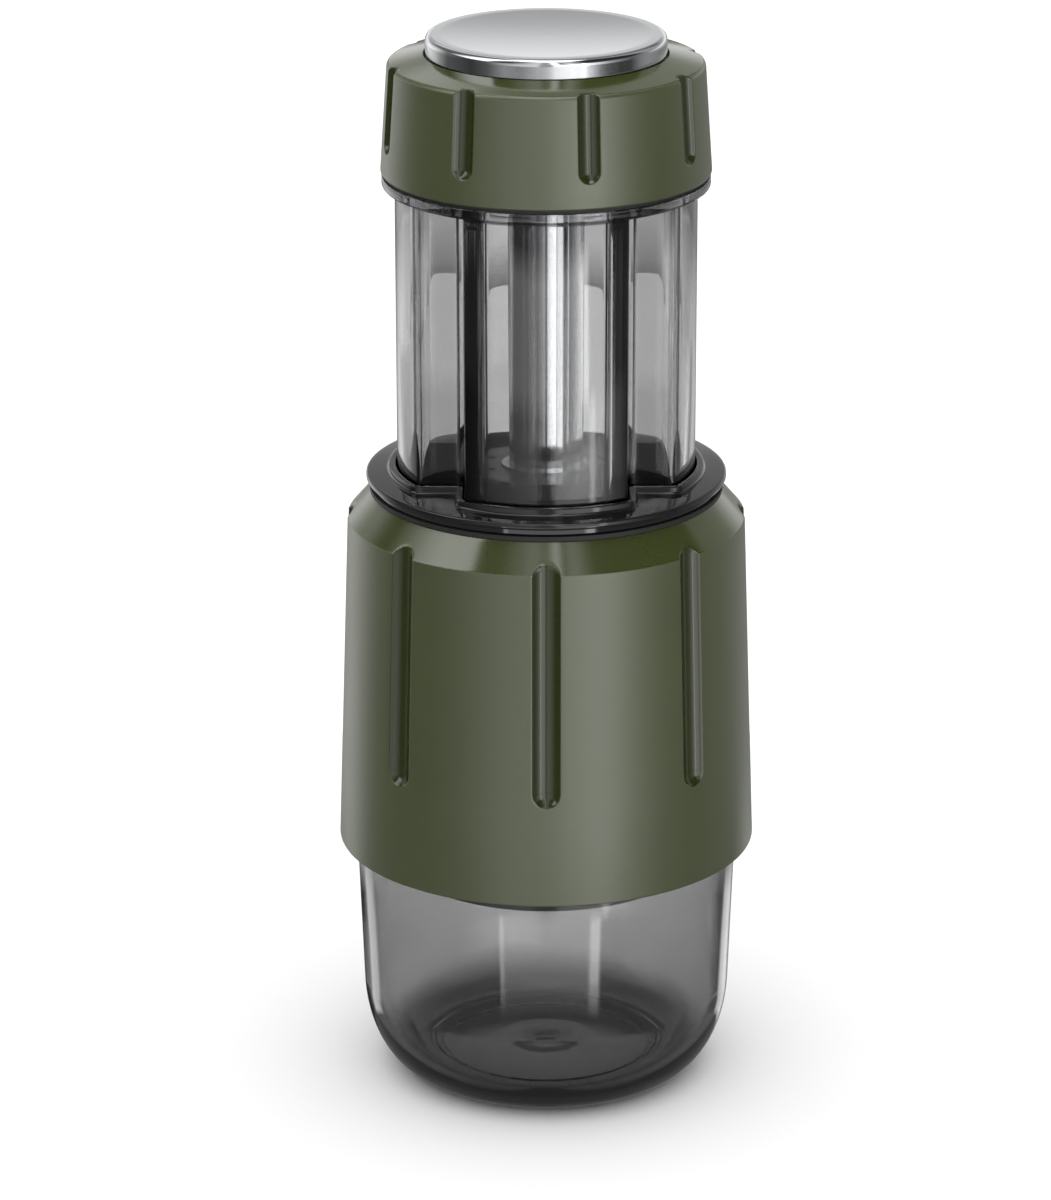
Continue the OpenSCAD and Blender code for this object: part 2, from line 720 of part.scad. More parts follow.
module piston_head() {
    color(dark_plastic) difference() {
        union() {
            bar(piston_r, piston_face, piston_top);
            bar(hub_r, clip_z, piston_face + cut);
        }
        hole(rod_in_r, clip_z, piston_top);
        bar(rod_r + seat_gap, rod_z, piston_top + cut);
        ring(ring_floor_r, piston_r + cut, ring_z - seat_gap, ring_z + ring_h + seat_gap);
        for (k = [0:port_count - 1]) rotate(360 * k / port_count) translate([port_x, 0, 0])
            hole(port_r, piston_face, piston_top, $fn = 32);
        ring(clip_in_r, hub_r + cut, clip_z - cut, clip_z + clip_t);
    }
}

module piston_ring() {
    color(black_rubber) ring(ring_floor_r + seat_gap, ring_r, ring_z, ring_z + ring_h);
}

module piston_valve() {
    valve_z = clip_z + clip_t + rest_gap;
    color(black_rubber) ring(valve_in_r, valve_r, valve_z, valve_z + valve_t);
}

module valve_clip() {
    color(steel) ring(clip_in_r + rest_gap, valve_in_r + 4 * move_gap, clip_z, clip_z + clip_t - rest_gap);
}

module piston_rod() {
    color(steel) ring(rod_in_r, rod_r, rod_z, rod_top);
}

module rod_nut() {
    color(steel) difference() {
        bar(nut_r, plate_top, plate_top + nut_h, $fn = 6);
        hole(rod_r + rest_gap, plate_top, plate_top + nut_h);
    }
}

module rod_plug() {
    color(steel) bar(rod_in_r - rest_gap, plug_z, rod_top, $fn = 64);
}

module plunger_tube() {
    plate_r = cap_r - 2 * seat_gap;
    color(smoke) difference() {
        union() {
            lobed_bar(0, tube_z, plate_z + cut / 2);
            rotate_extrude() polygon([
                [0, plate_z], [plate_r - 2 * bevel, plate_z], [plate_r, plate_z + 1.5 * bevel],
                [plate_r, plate_top], [0, plate_top]]);
        }
        lobed_bar(-tube_wall, tube_z - cut, plate_z);
        hole(rod_r + seat_gap, plate_z, plate_top);
    }
}

module stop_ring() {
    color(dark_smoke) difference() {
        lobed_bar(stop_out, tube_z, tube_z + stop_t);
        lobed_bar(rest_gap, tube_z - cut, tube_z + stop_t + cut);
    }
}

module cap_seal() {
    color(black_rubber) ring(cap_r - cap_wall, cap_r - bevel, plate_top, cap_z);
}

module cap() {
    shoulder_r = cap_r - cap_draft;
    in_r = cap_r - cap_wall;
    ceiling = cap_shoulder - cap_wall;
    nut_top = plate_top + nut_h + seat_gap;
    lean = atan(cap_draft / cap_side_h);
    color(olive) difference() {
        union() {
            difference() {
                rotate_extrude() polygon(concat(
                    [[0, cap_z], [cap_r - edge, cap_z], [cap_r, cap_z + edge]],
                    arc([shoulder_r - cap_round, cap_shoulder - cap_round], cap_round, 0, 80, 6),
                    [[well_r + edge, well_edge], [well_r, well_edge - edge]],
                    [[well_r, well_z], [0, well_z]]));
                translate([0, 0, cap_z - cut])
                    cylinder(h = ceiling - cap_z + cut, r1 = in_r, r2 = in_r - cap_draft);
            }
            bar(nut_r, nut_top, ceiling + cut);
            bar(disc_r * 0.85, well_z - cut, disc_z);
            // ribs between the boss and the side
            for (k = [0:3]) rotate(45 + 90 * k) translate([nut_r - cut, -rib_t / 2, nut_top + nut_h / 2])
                cube([in_r - nut_r + cut, rib_t, ceiling - nut_top - nut_h / 2 + cut]);
        }
        bar(rod_r + seat_gap, nut_top - cut, rod_top + 2 * seat_gap);
        bar(stub_r + seat_gap, disc_z - stub_h - 2 * seat_gap, disc_z + cut, $fn = 64);
        grooves(cap_turn, cap_r, cap_z, lean, cap_groove_foot, cap_groove_w, cap_groove_depth, cap_side_h);
    }
}

module palm_disc() {
    disc_top = disc_z + disc_t;
    color(steel) {
        bar(stub_r, disc_z - stub_h, disc_z + cut, $fn = 64);
        rotate_extrude() polygon(concat(
            [[0, disc_z], [disc_r - edge, disc_z], [disc_r, disc_z + edge]],
            arc([disc_r - disc_round, disc_top - disc_round], disc_round, 0, 90, 6),
            [[0, disc_top]]));
    }
}

cup();
cup_seal();
sleeve();
lock_ring();
tank();
brew_gasket();
shower_screen();
shower_screw();
outlet_ball();
outlet_spring();
outlet_cage();
filter_basket();
brew_head();
spout();
spindle();
return_spring();
collar();
collar_gasket();
collar_seal();
wiper_seal();
pump_cylinder();
cylinder_seal();
cylinder_lid();
rod_gland();
piston_head();
piston_ring();
piston_valve();
valve_clip();
piston_rod();
rod_nut();
rod_plug();
plunger_tube();
stop_ring();
cap_seal();
cap();
palm_disc();
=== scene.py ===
from math import asin, atan2, cos, pi, radians, sin, sqrt, tan

import bmesh
import bpy
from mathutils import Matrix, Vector


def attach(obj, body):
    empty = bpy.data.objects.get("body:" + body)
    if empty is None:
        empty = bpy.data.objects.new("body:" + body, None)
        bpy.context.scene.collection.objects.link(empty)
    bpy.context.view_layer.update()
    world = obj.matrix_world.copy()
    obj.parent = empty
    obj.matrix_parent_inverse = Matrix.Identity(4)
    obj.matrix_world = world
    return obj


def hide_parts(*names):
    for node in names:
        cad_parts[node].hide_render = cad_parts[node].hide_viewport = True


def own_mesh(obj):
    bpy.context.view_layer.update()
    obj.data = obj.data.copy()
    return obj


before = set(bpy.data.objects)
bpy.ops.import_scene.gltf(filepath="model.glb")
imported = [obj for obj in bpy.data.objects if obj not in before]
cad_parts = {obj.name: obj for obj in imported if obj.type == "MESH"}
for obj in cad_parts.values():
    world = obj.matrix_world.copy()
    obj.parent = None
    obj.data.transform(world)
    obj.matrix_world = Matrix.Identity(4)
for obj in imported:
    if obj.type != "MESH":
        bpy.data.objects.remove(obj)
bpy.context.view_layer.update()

MM = 0.001
TURN = 2 * pi
# radius of the tiny ring that closes a turned piece on its axis or a wire at its end, in millimetres
CENTRE = 0.001
# points round a large and a small turned piece
LARGE_TURN, SMALL_TURN = 256, 96

# Sizes of the CAD part that the finer pieces repeat, in millimetres
CUP_H, CUP_RIM, CUP_SIDE, CUP_FOOT = 54.0, 35.2, 33.8, 23.05
CUP_ROUND, CUP_WALL, CUP_FLOOR = 17.7, 2.2, 3.3
SLEEVE_Z, SLEEVE_R, SLEEVE_ROUND = 45.5, 38.0, 2.2
EDGE_Z, EDGE_R, TOP_Z, TOP_R = 106.8, 35.9, 111.9, 31.5
NECK_R, BORE_R, LOCK_BORE, STEP_Z = 29.9, 33.4, 35.6, 58.9
TUBE_R, LOBE_HALF, NOTCH, LOBE_EDGE, WALL = 26.8, 14.365, 1.6, 1.1, 2.1
TUBE_Z, PLATE_Z, PLATE_TOP = 104.9, 167.9, 169.9
GUIDE_Z, GUIDE_R, FLANGE_Z, FLANGE_TOP, FLANGE_R, LIP_Z = 108.7, 29.6, 112.7, 115.2, 32.4, 116.6
CAP_Z, CAP_R, CAP_DRAFT, SHOULDER_Z, WELL_EDGE, WELL_R = 170.5, 29.3, 1.3, 190.0, 191.6, 21.35
DISC_Z, DISC_TOP, DISC_R = 191.4, 195.0, 21.25
ROD_R, ROD_IN, ROD_Z, ROD_TOP = 6.59, 5.39, 108.4, 182.5
STROKE, SPRING_WIRE, SPRING_TURNS = 42.0, 1.1, 22
OUTLET_TRAVEL, OUTLET_WIRE, OUTLET_TURNS = 0.8, 0.26, 3


# Helpers for shapes

def mesh_object(name, verts, faces, finishes, finish_index=(), sharp=32):
    """An object from points in millimetres, shaded smooth but for edges over a number of degrees."""
    mesh = bpy.data.meshes.new(name)
    mesh.from_pydata([Vector(v) * MM for v in verts], [], faces)
    for finish in finishes:
        mesh.materials.append(finish)
    for face, i in zip(mesh.polygons, finish_index):
        face.material_index = i
    shape = bmesh.new()
    shape.from_mesh(mesh)
    bmesh.ops.remove_doubles(shape, verts=shape.verts, dist=1e-7)
    bmesh.ops.recalc_face_normals(shape, faces=shape.faces)
    for face in shape.faces:
        face.smooth = True
    for edge in shape.edges:
        edge.smooth = len(edge.link_faces) == 2 and edge.calc_face_angle(0) < radians(sharp)
    shape.to_mesh(mesh)
    shape.free()
    obj = bpy.data.objects.new(name, mesh)
    bpy.context.scene.collection.objects.link(obj)
    return obj


def loop_faces(count, size, closed):
    """Quads between loops of points that all have the same size."""
    faces = []
    for i in range(count if closed else count - 1):
        a, b = i * size, ((i + 1) % count) * size
        for k in range(size):
            n = (k + 1) % size
            faces.append((a + k, a + n, b + n, b + k))
    return faces


def stack(name, loops, finish, closed=True):
    """A piece from loops of points, each joined to the next, and the last to the first if it is closed."""
    verts = [p for loop in loops for p in loop]
    return mesh_object(name, verts, loop_faces(len(loops), len(loops[0]), closed), [finish])


def even(n):
    return [TURN * k / n for k in range(n)]


def circle(r, z, angles):
    return [(r * cos(a), r * sin(a), z) for a in angles]


def steps(start, step, count):
    return [start + step * i for i in range(count)]


def arc(x, y, r, start, sweep, n, ends=0):
    """Points of an arc in n steps. Its last point is there only when ends is 1."""
    angles = [start + sweep * i / n for i in range(n + ends)]
    return [(x + r * cos(a), y + r * sin(a)) for a in angles]


def ellipse_quarter(r0, z0, r1, z1, n):
    """A profile that leaves the foot flat and ends upright."""
    angles = [pi / 2 * i / n for i in range(n + 1)]
    return [(r0 + (r1 - r0) * sin(a), z0 + (z1 - z0) * (1 - cos(a))) for a in angles]


def rounded(points, count=6):
    """A profile of (radius, height, rounding) with its corners rounded, each in a count of steps.
    A rounding takes less than half of the straights beside it."""
    out = []
    for i, (x, y, rad) in enumerate(points):
        p = Vector((x, y))
        if rad <= 0:
            out.append((x, y))
            continue
        a = Vector(points[i - 1][:2]) - p
        b = Vector(points[(i + 1) % len(points)][:2]) - p
        half = a.angle(b) / 2
        cut = min(rad / tan(half), a.length * 0.49, b.length * 0.49)
        rad = cut * tan(half)
        a.normalize()
        b.normalize()
        centre = p + (a + b).normalized() * rad / sin(half)
        start, end = (p + a * cut - centre).normalized(), (p + b * cut - centre).normalized()
        for k in range(count + 1):
            d = start.slerp(end, k / count) * rad
            out.append((centre.x + d.x, centre.y + d.y))
    return out


def braced(profile, gap=0.12):
    """The profile with a point near each end of its long straights, which keeps them shaded flat."""
    out = [profile[0]]
    for (r0, z0), (r1, z1) in zip(profile, profile[1:]):
        length = sqrt((r1 - r0) ** 2 + (z1 - z0) ** 2)
        if length > 6 * gap:
            t = gap / length
            out += [(r0 + (r1 - r0) * t, z0 + (z1 - z0) * t), (r1 + (r0 - r1) * t, z1 + (z0 - z1) * t)]
        out.append((r1, z1))
    return out


def revolve(name, profile, finish, n, closed=True):
    """A turned piece from its profile of (radius, height)."""
    return stack(name, [circle(max(r, CENTRE), z, even(n)) for r, z in profile], finish, closed)


LOBE_STEPS, CORNER_STEPS, SIDE_STEPS, MIN_NOTCH = 22, 8, 3, 0.2


def lobe_outline(by, side=0.0, corner=0.6):
    """Points of the tube's four-lobed outline grown by a distance, going round once.
    side grows only the lobes' flat sides, and corner is the least rounding of a lobe's corners."""
    r, h = TUBE_R + by, LOBE_HALF + by + side
    notch, edge = max(NOTCH - by - side, MIN_NOTCH), max(LOBE_EDGE + by, corner)
    x, y = sqrt((r - edge) ** 2 - (h - edge) ** 2), h - edge
    touch = atan2(y, x)
    half = arc(0, 0, r, 0, touch, LOBE_STEPS)
    half += arc(x, y, edge, touch, pi / 2 - touch, CORNER_STEPS)
    half += [(x + (h + notch - x) * i / SIDE_STEPS, h) for i in range(SIDE_STEPS)]
    half += arc(h + notch, h + notch, notch, -pi / 2, -pi / 4, CORNER_STEPS, ends=1)
    quarter = half + [(y, x) for x, y in reversed(half[1:-1])]
    turns = [(cos(k * pi / 2), sin(k * pi / 2)) for k in range(4)]
    return [(x * c - y * s, x * s + y * c) for c, s in turns for x, y in quarter]


def at(outline, z):
    """The outline's points at one height, or at a height that depends on their radius."""
    return [(x, y, z(sqrt(x * x + y * y)) if callable(z) else z) for x, y in outline]


# Helpers for materials

class Nodes:
    """Builds a node tree with short calls."""

    def __init__(self, tree):
        self.tree = tree
        tree.nodes.clear()

    def add(self, kind, _inputs=None, **props):
        node = self.tree.nodes.new(kind)
        for key, value in props.items():
            setattr(node, key, value)
        for key, value in (_inputs or {}).items():
            self.put(node.inputs[key], value)
        return node

    def put(self, socket, value):
        if hasattr(value, "is_output"):
            self.tree.links.new(value, socket)
        else:
            socket.default_value = value

    def math(self, op, a, b, c=None):
        node = self.add("ShaderNodeMath", {0: a, 1: b}, operation=op)
        if c is not None:
            self.put(node.inputs[2], c)
        return node.outputs[0]

    def product(self, first, *others):
        for other in others:
            first = self.math("MULTIPLY", first, other)
        return first

    def fade(self, value, start, end, curve="LINEAR"):
        """0 before start and 1 after end, on either side of each other."""
        inputs = {"Value": value, "From Min": start, "From Max": end}
        return self.add("ShaderNodeMapRange", inputs, interpolation_type=curve).outputs[0]

    def noise(self, place, scale, detail, roughness):
        inputs = {"Vector": place, "Scale": scale, "Detail": detail, "Roughness": roughness}
        return self.add("ShaderNodeTexNoise", inputs).outputs["Fac"]

    def ramp(self, factor, stops):
        node = self.add("ShaderNodeValToRGB", {0: factor})
        bar = node.color_ramp
        while len(bar.elements) > 1:
            bar.elements.remove(bar.elements[-1])
        for i, (place, colour) in enumerate(stops):
            element = bar.elements[0] if i == 0 else bar.elements.new(place)
            element.position = place
            element.color = grey(colour) if isinstance(colour, (int, float)) else (*colour, 1)
        return node.outputs[0]

    def between(self, factor, low, high):
        """low in the dark parts of a noise and high in its light parts."""
        return self.ramp(factor, [(NOISE_DARK, low), (NOISE_LIGHT, high)])

    def clear_after(self, depth):
        """1 for a ray through clear plastic once it has had a bounce of the kind that depth counts."""
        paths = self.add("ShaderNodeLightPath").outputs
        return self.product(paths["Is Transmission Ray"], self.math("GREATER_THAN", paths[depth], 0.5))

    def mix(self, factor, a, b):
        node = self.add("ShaderNodeMix", data_type="RGBA")
        kinds = {"Factor": "VALUE", "A": "RGBA", "B": "RGBA"}
        for name, value in (("Factor", factor), ("A", a), ("B", b)):
            self.put([s for s in node.inputs if s.name == name and s.type == kinds[name]][0], value)
        return [s for s in node.outputs if s.type == "RGBA"][0]


def grey(value):
    return (value, value, value, 1.0)


def material(name):
    made = bpy.data.materials.new(name)
    made.use_nodes = True
    return made, Nodes(made.node_tree)


def scaled(colour, k):
    return tuple(c * k for c in colour)


# Noise that varies the materials
# scale, detail and roughness of the broad noise
BROAD = (60.0, 4.0, 0.6)
# detail and roughness of the fine noise, its share in the sum of both, and the height of its bump in metres
FINE_DETAIL, FINE_ROUGHNESS, FINE_SHARE, GRAIN_HEIGHT = 3.0, 0.55, 0.6, 0.00005
# where a noise counts as dark and as light
NOISE_DARK, NOISE_LIGHT = 0.3, 0.7


def surface(name, colour, spread, rough, rough_spread, grain, bump, **sockets):
    """A procedural material: colour and roughness vary with soft noise, and its bump has a fine grain."""
    made, n = material(name)
    place = n.add("ShaderNodeTexCoord").outputs["Object"]
    broad = n.noise(place, *BROAD)
    fine = n.noise(place, grain, FINE_DETAIL, FINE_ROUGHNESS)
    both = n.math("MULTIPLY_ADD", fine, FINE_SHARE, n.math("MULTIPLY", broad, 1 - FINE_SHARE))
    inputs = {
        "Base Color": n.between(both, scaled(colour, 1 - spread), scaled(colour, 1 + spread)),
        "Roughness": n.between(both, rough - rough_spread, rough + rough_spread),
    }
    if bump:
        relief = n.add("ShaderNodeBump", {"Height": fine, "Strength": bump, "Distance": GRAIN_HEIGHT})
        inputs["Normal"] = relief.outputs[0]
    inputs.update(sockets)
    shader = n.add("ShaderNodeBsdfPrincipled", inputs)
    n.add("ShaderNodeOutputMaterial", {"Surface": shader.outputs[0]})
    return made


# Clear plastic: how much its tint varies, its least and most roughness, and the tint of its inside
TINT_SPREAD, POLISH, HAZE, INNER_TINT = 0.02, 0.004, 0.02, (0.0, 0.0, 0.01, 1.0)
PLASTIC_IOR = 1.5
# The cup's heel shade: the zone on the rounding over its foot where a dark tint is painted as shade, as radii
# and heights in metres
HEEL_SHADE_FROM, HEEL_SHADE_TO, HEEL_SHADE_TOP, HEEL_SHADE_LOW = 0.0232, 0.0262, 0.008, 0.003


def tinted(name, colour, depth, heel=None):
    """A clear tinted plastic: a light tint at its surface, and the rest grows with the thickness seen.
    heel is a dark surface tint painted as shade on the rounding over the foot."""
    made, n = material(name)
    place = n.add("ShaderNodeTexCoord").outputs["Object"]
    broad = n.noise(place, *BROAD)
    base = n.between(broad, scaled(colour, 1 - TINT_SPREAD), scaled(colour, 1 + TINT_SPREAD))
    if heel:
        x, y, z = n.add("ShaderNodeSeparateXYZ", {0: place}).outputs
        radius = n.math("POWER", n.math("MULTIPLY_ADD", x, x, n.math("MULTIPLY", y, y)), 0.5)
        # painted shade: the surface tint goes dark on the rounding over the foot
        dark = n.product(n.fade(radius, HEEL_SHADE_FROM, HEEL_SHADE_TO), n.fade(z, HEEL_SHADE_TOP, HEEL_SHADE_LOW))
        base = n.mix(dark, base, grey(heel))
    rough = n.between(broad, POLISH, HAZE)
    inputs = {"Base Color": base, "Roughness": rough, "Transmission Weight": 1.0, "IOR": PLASTIC_IOR}
    shader = n.add("ShaderNodeBsdfPrincipled", inputs)
    inside = n.add("ShaderNodeVolumeAbsorption", {"Color": INNER_TINT, "Density": depth})
    n.add("ShaderNodeOutputMaterial", {"Surface": shader.outputs[0], "Volume": inside.outputs[0]})
    return made


OLIVE = (0.0415, 0.0528, 0.0125)
STEEL = (0.56, 0.57, 0.58)
SHINE = "Specular IOR Level"
SATIN = surface("olive_satin", OLIVE, 0.10, 0.37, 0.03, 5200.0, 0.3, **{"IOR": 1.55, SHINE: 1.0})
GLOSSY_OLIVE = surface("olive_gloss", scaled(OLIVE, 0.85), 0.06, 0.13, 0.03, 3000.0, 0.03, **{SHINE: 1.0})
# the grooves' olive at half brightness is painted shade in the recesses
SHADED_GROOVE_OLIVE = surface("olive_groove_painted_shade", scaled(OLIVE, 0.5), 0.06, 0.13, 0.03, 3000.0, 0.03, **{SHINE: 0.6})
SMOKE = tinted("smoke_clear", (0.86, 0.86, 0.86), 170.0)
# the cup's heel tint of 0.15 is painted shade on the rounding over its foot
CUP_SMOKE = tinted("smoke_clear_cup", (0.86, 0.86, 0.855), 220.0, heel=0.15)
DARK_SMOKE = surface("dark_smoke", (0.008, 0.008, 0.0085), 0.12, 0.05, 0.02, 1400.0, 0.0,
                     **{"IOR": PLASTIC_IOR, "Transmission Weight": 0.0})
CHROME = surface("polished_steel", STEEL, 0.02, 0.10, 0.02, 2600.0, 0.02, **{"Metallic": 1.0})
BRUSHED = surface("brushed_steel", STEEL, 0.03, 0.24, 0.03, 4200.0, 0.10, **{"Metallic": 1.0})
SPRING = surface("spring_steel", (0.45, 0.45, 0.46), 0.05, 0.3, 0.05, 2600.0, 0.1, **{"Metallic": 1.0})
PLASTIC = surface("dark_plastic", (0.028, 0.028, 0.03), 0.15, 0.35, 0.05, 3600.0, 0.2)
RUBBER = surface("black_rubber", (0.012, 0.012, 0.012), 0.2, 0.6, 0.06, 4200.0, 0.3)

NODE_MATERIALS = {
    PLASTIC: ["lock_ring", "tank", "outlet_cage", "brew_head", "pump_cylinder", "piston_head"],
    CHROME: ["shower_screw", "outlet_ball", "spindle", "spout", "rod_gland", "rod_nut", "rod_plug",
             "valve_clip"],
    BRUSHED: ["filter_basket", "shower_screen"],
    RUBBER: ["cup_seal", "brew_gasket", "collar_gasket", "collar_seal", "wiper_seal", "cylinder_seal",
             "piston_ring", "piston_valve", "cap_seal"],
    DARK_SMOKE: ["cylinder_lid", "stop_ring"],
}
for finish, names in NODE_MATERIALS.items():
    for name in names:
        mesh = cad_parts[name].data
        mesh.materials.clear()
        mesh.materials.append(finish)


def place(obj, body, slot, *nodes):
    """Rides a piece on its body and hides the CAD nodes that it stands for. Its slot is not used."""
    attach(obj, body)
    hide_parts(*nodes)


# Cup: a turned piece with a thin wall, a flat ring under its foot, and a ring and a dimple let into its floor

FOOT_RING, RECESS, RECESS_EDGE, RECESS_RING = 3.5, 1.0, 0.45, 9.0
LEAN_Z, LEAN = 28.0, 0.4
RIM_OUTSIDE, RIM_INSIDE = 0.7, 0.6
BOWL_IN, BOWL_SHARE, CURVE_STEPS = 0.4, 0.8, 40
FLOOR_RING = [(22.2, 0.0), (21.8, 0.3), (21.2, 0.3), (20.8, 0.0)]
FLOOR_DIMPLE = [(10.0, 0.0), (2.6, 0.0), (2.2, 0.12), (1.7, 0.04), (0.0, 0.04)]

recess_r = CUP_FOOT - FOOT_RING
heel = ellipse_quarter(CUP_FOOT, 0, CUP_SIDE, CUP_ROUND, CURVE_STEPS)
bowl_top = CUP_FLOOR + CUP_ROUND * BOWL_SHARE
bowl = ellipse_quarter(CUP_FOOT - BOWL_IN, CUP_FLOOR, CUP_SIDE - CUP_WALL, bowl_top, CURVE_STEPS)
profile = [(CENTRE, RECESS), (RECESS_RING, RECESS)]
profile += rounded([(recess_r - 1, RECESS, 0), (recess_r, RECESS, RECESS_EDGE),
                    (recess_r, 0, RECESS_EDGE), (recess_r + 1, 0, 0)], 5)
# the heel ends where it leans as the wall over it does
profile += heel[:-2]
profile += rounded([(CUP_SIDE + LEAN, LEAN_Z, 0), (CUP_RIM, CUP_H, RIM_OUTSIDE),
                    (CUP_RIM - CUP_WALL, CUP_H, RIM_INSIDE), (CUP_RIM - CUP_WALL, SLEEVE_Z, 0)], 5)
profile += bowl[::-1] + [(r, CUP_FLOOR - down) for r, down in FLOOR_RING + FLOOR_DIMPLE]
cup = revolve("cup_clear", profile, CUP_SMOKE, LARGE_TURN, closed=False)
place(cup, "cup_body", "smoke_clear", "cup")


# Sleeve and cap: turned walls with scooped grooves let into them

GROOVES, ACROSS, BETWEEN = 8, 26, 12
BESIDE, SOFT_EDGE, STEEP = 1.2, 0.35, 5
SCOOP_REACH, CUT_DEPTH, FLUTED_SHARP = 0.98, 0.1, 50
FLUTED_FINISHES = [SATIN, GLOSSY_OLIVE, SHADED_GROOVE_OLIVE]


def soft_min(a, b, k):
    """The lesser of two values, blended where they are less than k apart."""
    h = max(0.0, k - abs(a - b)) / k
    return min(a, b) - h * h * k / 4


def rising(profile):
    """The profile without the points that don't go up."""
    return [p for i, p in enumerate(profile) if i == 0 or p[1] > profile[i - 1][1] + 1e-6]


def radius_on(wall, z):
    """The radius of a rising profile at a height."""
    for (r0, z0), (r1, z1) in zip(wall, wall[1:]):
        if z0 <= z <= z1 and z1 > z0:
            return r0 + (r1 - r0) * (z - z0) / (z1 - z0)
    return wall[-1][0] if z >= wall[-1][1] else wall[0][0]


def groove_columns(reach, turn):
    """Where each column of points stands: the groove's angle, the distance from its middle, and the share
    of the way to the next groove."""
    near = [reach * i / ACROSS for i in range(-ACROSS, ACROSS + 1)]
    columns = []
    for g in range(GROOVES):
        mid = radians(-90 + turn + 360 / GROOVES * g)
        columns += [(mid, t, 0.0) for t in near]
        columns += [(mid, reach, (i + 1) / (BETWEEN + 1)) for i in range(BETWEEN)]
    return columns


def fluted(name, wall, rest, floor_at, width, depth, end_z, turn, gloss_z, rows):
    """A turned piece with scooped grooves: wall is its outer profile going up, and rest closes it inside.
    floor_at(z) is the radius of a groove's floor. The wall is glossy over gloss_z and satin under it, and the
    grooves' faces take a darker olive that paints their shade."""
    half = width / 2
    scoop = (half * half + depth * depth) / (2 * depth)
    centre_z, reach = end_z + half, half + BESIDE
    columns = groove_columns(reach, turn)
    zs = sorted(set([z for _, z in wall] + rows))
    loops, in_groove = [], []
    for z in zs:
        r, floor_r = radius_on(wall, z), floor_at(z)
        loop, marks = [], []
        for mid, t, share in columns:
            if share:
                start = asin(reach / r)
                a = mid + (start + (TURN / GROOVES - 2 * start) * share)
                loop.append((r * cos(a), r * sin(a), z))
                marks.append(False)
                continue
            away = abs(t) if z >= centre_z else sqrt(t * t + (centre_z - z) ** 2)
            skin, near = sqrt(r * r - t * t), min(away, scoop * SCOOP_REACH)
            cut = floor_r + scoop - sqrt(scoop * scoop - near * near) + STEEP * (away - near)
            u = soft_min(skin, cut, SOFT_EDGE)
            loop.append((u * cos(mid) - t * sin(mid), u * sin(mid) + t * cos(mid), z))
            marks.append(u < skin - CUT_DEPTH)
        loops.append(loop)
        in_groove.append(marks)
    angles = [atan2(y, x) for x, y, _ in loops[0]]
    inner = [circle(r, z, angles) for r, z in rest]
    size, total = len(columns), len(loops) + len(inner)
    index = []
    for low, high, z0, z1 in zip(in_groove, in_groove[1:], zs, zs[1:]):
        wall_finish = 1 if (z0 + z1) / 2 > gloss_z else 0
        # faces in a groove take the half-bright olive: painted shade
        index += [2 if low[k] or high[k] or low[(k + 1) % size] else wall_finish for k in range(size)]
    verts = [p for loop in loops + inner for p in loop]
    return mesh_object(name, verts, loop_faces(total, size, True), FLUTED_FINISHES, index, FLUTED_SHARP)


SLEEVE_GROOVE, SLEEVE_DEPTH, SLEEVE_LOW = 5.0, 1.3, 18.5
CAP_GROOVE, CAP_DEPTH, CAP_LOW, CAP_TURN = 4.0, 1.2, 4.5, 15
SHOULDER_EDGE, TOP_EDGE, NECK_DOWN, BORE_DOWN = 0.5, 0.3, 5, 8.5
CAP_EDGE, CAP_ROUND, WELL_EASE, WELL_DEPTH, CAP_WALL = 0.4, 1.0, 0.3, 1, 2.4
BOSS_R, BOSS_Z, BOSS_WALL, ROD_HOLE, HOLE_TOP = 10.0, 2.9, 0.6, 7.0, 12.4
GLOSS_OVER = 0.1


def leaning(r, lean, foot):
    """A function of the height: the radius of a wall that stands at r on its foot and leans in."""
    return lambda z: r - lean * (z - foot)


sleeve_lean = (SLEEVE_R - EDGE_R) / (EDGE_Z - SLEEVE_Z)
sleeve_low = SLEEVE_Z + SLEEVE_LOW
sleeve_floor = leaning(SLEEVE_R - SLEEVE_DEPTH, sleeve_lean, SLEEVE_Z)
wall = rising(rounded([(SLEEVE_R - 0.5, SLEEVE_Z, 0), (SLEEVE_R, SLEEVE_Z, SLEEVE_ROUND),
                       (EDGE_R, EDGE_Z, SHOULDER_EDGE), (TOP_R, TOP_Z, TOP_EDGE), (NECK_R, TOP_Z, 0)], 7))
rest = [(NECK_R, TOP_Z), (NECK_R, TOP_Z - NECK_DOWN), (BORE_R, TOP_Z - BORE_DOWN), (BORE_R, STEP_Z),
        (LOCK_BORE, STEP_Z), (LOCK_BORE, SLEEVE_Z)]
# extra rings, close together at the grooves' round ends and at the shoulder, with a few on the wall between
rows = steps(sleeve_low - 1.2, 0.16, 28) + steps(70, 4, 9) + steps(104, 0.4, 19)
sleeve = fluted("sleeve_moulding", wall, rest, sleeve_floor, SLEEVE_GROOVE, SLEEVE_DEPTH, sleeve_low, 0,
                EDGE_Z + GLOSS_OVER, rows)
place(sleeve, "brewer", "olive_moulding", "sleeve")

